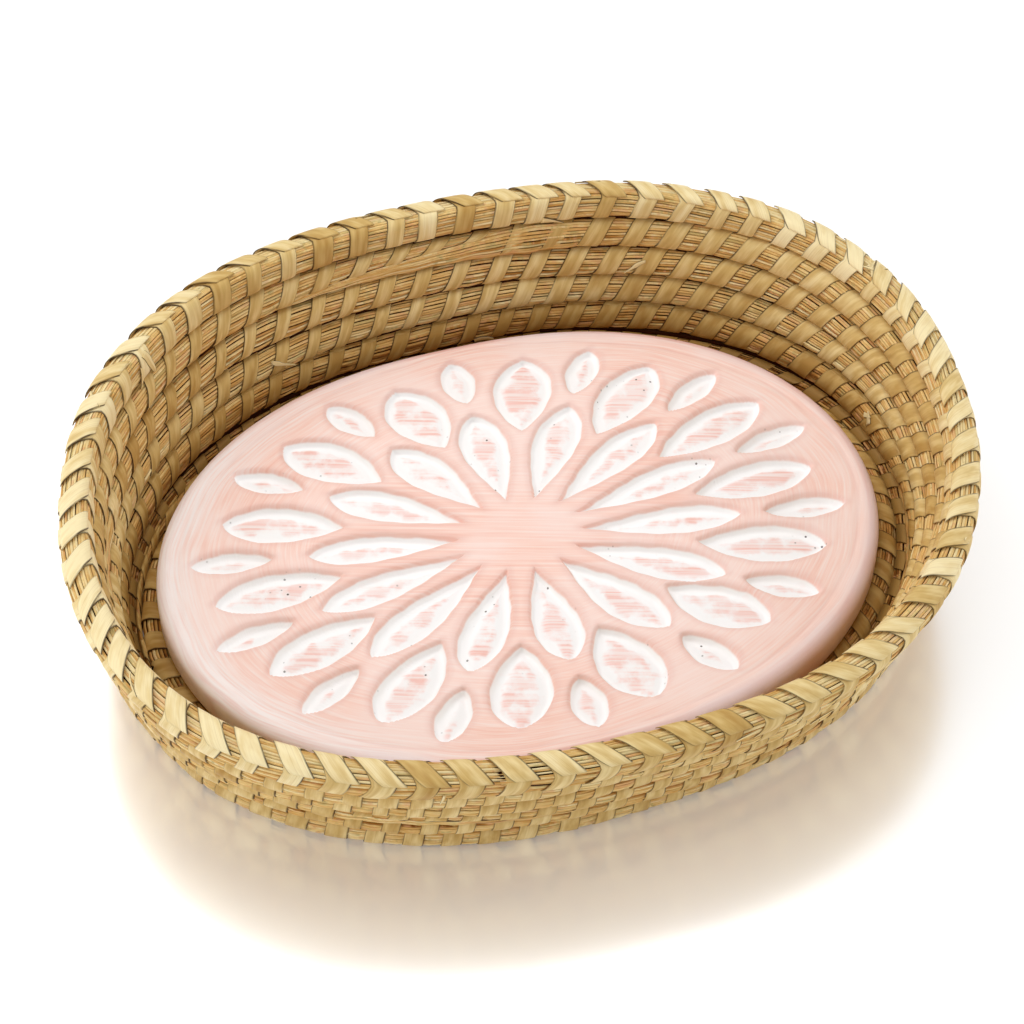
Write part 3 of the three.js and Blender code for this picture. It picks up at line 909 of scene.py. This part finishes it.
def stone_mesh():
    """The slab as rings: the carved face from its middle outward, the rounded edge, and the underside."""
    around = stone_around
    core = stone_half_length - stone_half_width
    fine = np.linspace(0, 2 * math.pi, 20001)
    line = oval(stone_half_width - stone_edge, fine, core)
    run = np.concatenate([[0.0], np.cumsum(np.linalg.norm(np.diff(line, axis=0), axis=1))])
    angle = np.interp(run[-1] * np.arange(around) / around, run, fine)
    face = np.interp(np.linspace(0, 1, stone_face_rings), [0, 0.05, 0.96, 1], [0.004, 0.16, 0.95, 1])
    outline = oval(stone_half_width - stone_edge, angle, core)
    top, bottom = stone_high.z, stone_low.z
    flat = face[:, None, None] * outline
    depth, carving = stone_carving(*stone_round(flat))
    rows = [np.concatenate([flat, (top - depth)[..., None]], axis=-1)]
    facts = [carving]

    edge_turns = np.radians([18, 36, 54, 72, 90])
    lower_turns = np.radians([0, 30, 60, 90])
    insets = [stone_edge * (1 - math.sin(t)) for t in edge_turns]
    heights = [top - stone_edge * (1 - math.cos(t)) for t in edge_turns]
    insets += [stone_edge * (1 - math.cos(t)) for t in lower_turns]
    heights += [bottom + stone_edge * (1 - math.sin(t)) for t in lower_turns]
    for inset, height in zip(insets, heights):
        ring = oval(stone_half_width - inset, angle, core)
        rows.append(np.column_stack([ring, np.full(around, height)])[None])
        facts.append(np.broadcast_to([0.0, 0.0, 1.0], (1, around, 3)))
    for scale in (0.66, 0.33, 0.004):
        rows.append(np.column_stack([outline * scale, np.full(around, bottom)])[None])
        facts.append(np.broadcast_to([0.0, 0.0, 1.0], (1, around, 3)))
    rows = np.concatenate(rows)
    facts = np.concatenate(facts)
    rings = len(rows)

    ring, step = np.meshgrid(np.arange(rings - 1), np.arange(around), indexing="ij")
    quad, places = [], []
    for down, on in ((0, 0), (1, 0), (1, 1), (0, 1)):
        quad.append((ring + down) * around + (step + on) % around)
        places.append(stone_map_place(rows, ring + down, (step + on) % around, ring >= stone_face_rings + 6))
    corners = np.stack(quad, axis=-1).reshape(-1)
    places = np.stack(places, axis=-2).reshape(-1, 2)
    caps = np.concatenate([np.arange(around), (rings - 1) * around + np.arange(around)[::-1]])
    cap_places = stone_map_place(rows, caps // around, caps % around, caps >= around)
    corners = np.concatenate([corners, caps])
    places = np.concatenate([places, cap_places])
    sizes = np.concatenate([np.full(ring.size, 4), [around, around]])

    spots = rows.reshape(-1, 3)
    shares, turns = stone_round(spots)
    brushed = np.stack([shares, np.cos(turns), np.sin(turns)], axis=-1)
    turned = spots.copy()
    turned[:, 0] = stone_middle.x + spots[:, 0] * math.cos(stone_turn) - spots[:, 1] * math.sin(stone_turn)
    turned[:, 1] = stone_middle.y + spots[:, 0] * math.sin(stone_turn) + spots[:, 1] * math.cos(stone_turn)
    return make_mesh("carved_stone", turned, corners, sizes, places,
                     {"carving": facts.reshape(-1, 3), "round": brushed})


def stone_map_place(rows, ring, step, below):
    """Place on the map: the face and edge seen from above, the underside beside them."""
    spot = rows[ring, step]
    drop = np.clip((stone_high.z - carving_depth - spot[..., 2]) / stone_half_length, 0, 1)
    scale = np.where(below, 0.115, 0.40) / stone_half_length * (1 + np.where(below, 0, 0.9 * drop))
    x = np.where(below, 0.86, 0.46) + spot[..., 0] * scale
    y = np.where(below, 0.90, 0.42) + spot[..., 1] * scale
    return np.stack([x, y], axis=-1)


grass = grass_material()
palm = palm_material()

# Base coil
base = base_bundle(grass_half)
base_rng = np.random.default_rng(base_seed)
base_stitching = Stitching(base, int(base.length / base_stitch_pitch), 0.0, 0.0, base_rng)
base_grass = Strands()
core_strand(base_grass, base, base_core_stations)
grass_strands(base_grass, base, base_rng, base_stems, base_stem_step, base_stem_sides, base_stitching,
              splice=0.0, painted_shade=base_painted_shade, stoutness=base_stem_stoutness)
add_piece(base_grass.mesh("base_grass"), grass, "basket", "grass", "base_coil")
base_palm = Strands()
stitch_strands(base_palm, base_stitching, base_stitch_stations, base_painted_shade)
add_piece(base_palm.mesh("base_stitches"), palm, "basket", "palm_strip")

# Wall courses, the lowest on the floor
bundles = {}
for course in range(1, wall_courses + 1):
    rng = np.random.default_rng(course_seed + course)
    first = top_splice_direction + (wall_courses - course) * splice_stagger
    top = course == wall_courses
    filling = (course_filling * (course > 1), rim_filling if top else course_filling)
    bundle = wall_bundle(course, first, grass_half, (course > 1, not top), filling)
    bundles[course] = bundle
    back = bundle.distance_at(math.pi / 2)
    pitch = bundle.length / stitches_per_course
    shift = (back + course * course_shift) % pitch
    stitching = Stitching(bundle, stitches_per_course, shift, course * course_wander, rng)
    course_grass = Strands()
    core_strand(course_grass, bundle, core_stations)
    crease_strand(course_grass, bundle, core_stations)
    painted_shade = low_painted_shade.get(course, 0.0)
    grass_strands(course_grass, bundle, rng, course_stems, course_stem_step, stem_sides, stitching,
                  cover=top_splice_cover * top, painted_shade=painted_shade)
    add_piece(course_grass.mesh(f"course_grass_{course}"), grass, "basket", "grass", f"wall_course_{course}")
    course_palm = Strands()
    stitch_strands(course_palm, stitching, stitch_stations, painted_shade)
    add_piece(course_palm.mesh(f"course_stitches_{course}"), palm, "basket", "palm_strip")

# Rim
rim = wall_bundle(rim_course, rim_splice_direction, rim_grass_half, filling=(rim_filling, 0.0))
rim_rng = np.random.default_rng(rim_seed)
rim_grass = Strands()
core_strand(rim_grass, rim, core_stations)
grass_strands(rim_grass, rim, rim_rng, rim_stems, rim_stem_step, stem_sides, splice=rim_splice_length,
              paleness=rim_stem_paleness)
add_piece(rim_grass.mesh("rim_grass"), grass, "basket", "grass", "rim_bundle")
for strip in range(lashing_strips):
    lashing = Strands()
    wraps = np.arange(strip * wraps_per_strip, (strip + 1) * wraps_per_strip)
    rim_strands(lashing, rim, wraps, rim_rng)
    lashing_mesh = lashing.mesh(f"rim_lashing_{strip + 1}")
    add_piece(lashing_mesh, palm, "basket", "palm_strip", f"rim_strip_{strip + 1}")

# Loose ends
bundles[rim_course] = rim
ends = Strands()
for course, direction, angle, heading, length, width, curl in free_ends:
    loose_end(ends, bundles[course], math.radians(direction), math.radians(angle), math.radians(heading),
              length * mm, width * mm, curl * mm, 0.8 if width < 2 else 0.6)
add_piece(ends.mesh("loose_ends"), palm, "basket", "palm_strip")

# Stone
add_piece(stone_mesh(), stone_material(), "stone", "terracotta", "warming_stone")


def add_camera():
    level = math.cos(camera_elevation)
    back = Vector((
        math.sin(camera_azimuth) * level,
        -math.cos(camera_azimuth) * level,
        math.sin(camera_elevation),
    ))
    right = Vector((math.cos(camera_azimuth), math.sin(camera_azimuth), 0))
    up = back.cross(right)
    turned_right = right * math.cos(camera_roll) + up * math.sin(camera_roll)
    turned_up = up * math.cos(camera_roll) - right * math.sin(camera_roll)
    data = bpy.data.cameras.new("camera")
    data.lens = camera_lens
    data.sensor_width = sensor_width
    camera = bpy.data.objects.new("camera", data)
    axes = Matrix((turned_right, turned_up, back)).transposed()
    camera.matrix_world = Matrix.Translation(camera_target + back * camera_distance) @ axes.to_4x4()
    bpy.context.scene.collection.objects.link(camera)
    bpy.context.scene.camera = camera


def add_lamp(name, place, size, power):
    data = bpy.data.lights.new(name, "AREA")
    data.size = size
    data.energy = power
    lamp = bpy.data.objects.new(name, data)
    lamp.location = place
    lamp.rotation_euler = (camera_target - Vector(place)).to_track_quat("-Z", "Y").to_euler()
    bpy.context.scene.collection.objects.link(lamp)


def seen_directly(tree):
    """1 for what is seen, also in a reflection or through glass, 0 for light on the object."""
    path = tree.nodes.new("ShaderNodeLightPath")
    seen = path.outputs["Is Camera Ray"]
    for output in ("Is Glossy Ray", "Is Transmission Ray"):
        either = tree.nodes.new("ShaderNodeMath")
        either.operation = "MAXIMUM"
        tree.links.new(seen, either.inputs[0])
        tree.links.new(path.outputs[output], either.inputs[1])
        seen = either.outputs[0]
    return seen


def add_floor():
    """A white table top with a soft gloss."""
    mesh = bpy.data.meshes.new("floor")
    corners = [(x * floor_reach, y * floor_reach, 0) for x, y in ((-1, -1), (1, -1), (1, 1), (-1, 1))]
    mesh.from_pydata(corners, [], [(0, 1, 2, 3)])
    floor = bpy.data.objects.new("floor", mesh)
    bpy.context.scene.collection.objects.link(floor)
    shade = Shader("white_table")
    tree = shade.tree
    soft = shade.node("ShaderNodeBsdfDiffuse", 0, {"Color": floor_white})
    gloss = shade.node("ShaderNodeBsdfGlossy", 0, {"Color": (1, 1, 1, 1), "Roughness": floor_roughness})
    both = shade.node("ShaderNodeMixShader", 0, {0: floor_gloss, 1: soft, 2: gloss})
    place = shade.node("ShaderNodeTexCoord", 3)
    distance = shade.node("ShaderNodeVectorMath", 1, {0: place}, operation="LENGTH")
    glow = shade.limit(distance, *floor_fade, floor_lift, 1.0)
    lift = shade.node("ShaderNodeEmission", 0, {"Strength": shade.times(seen_directly(tree), glow)})
    whole = shade.node("ShaderNodeAddShader", 0, {0: both, 1: lift})
    tree.links.new(whole, tree.nodes["Material Output"].inputs["Surface"])
    mesh.materials.append(shade.material)


def light_world(strength):
    """White to the eye and in reflections, softer as light."""
    world = bpy.data.worlds.new("studio")
    bpy.context.scene.world = world
    world.use_nodes = True
    tree = world.node_tree
    background = tree.nodes["Background"]
    background.inputs["Color"].default_value = (1, 1, 1, 1)
    level = tree.nodes.new("ShaderNodeMapRange")
    level.inputs["To Min"].default_value = strength
    level.inputs["To Max"].default_value = 1.0
    tree.links.new(seen_directly(tree), level.inputs["Value"])
    tree.links.new(level.outputs[0], background.inputs["Strength"])


add_camera()
add_floor()
light_world(world_light)
for name, lamp in lamps.items():
    add_lamp(name, *lamp)

view = bpy.context.scene.view_settings
view.view_transform = "Standard"
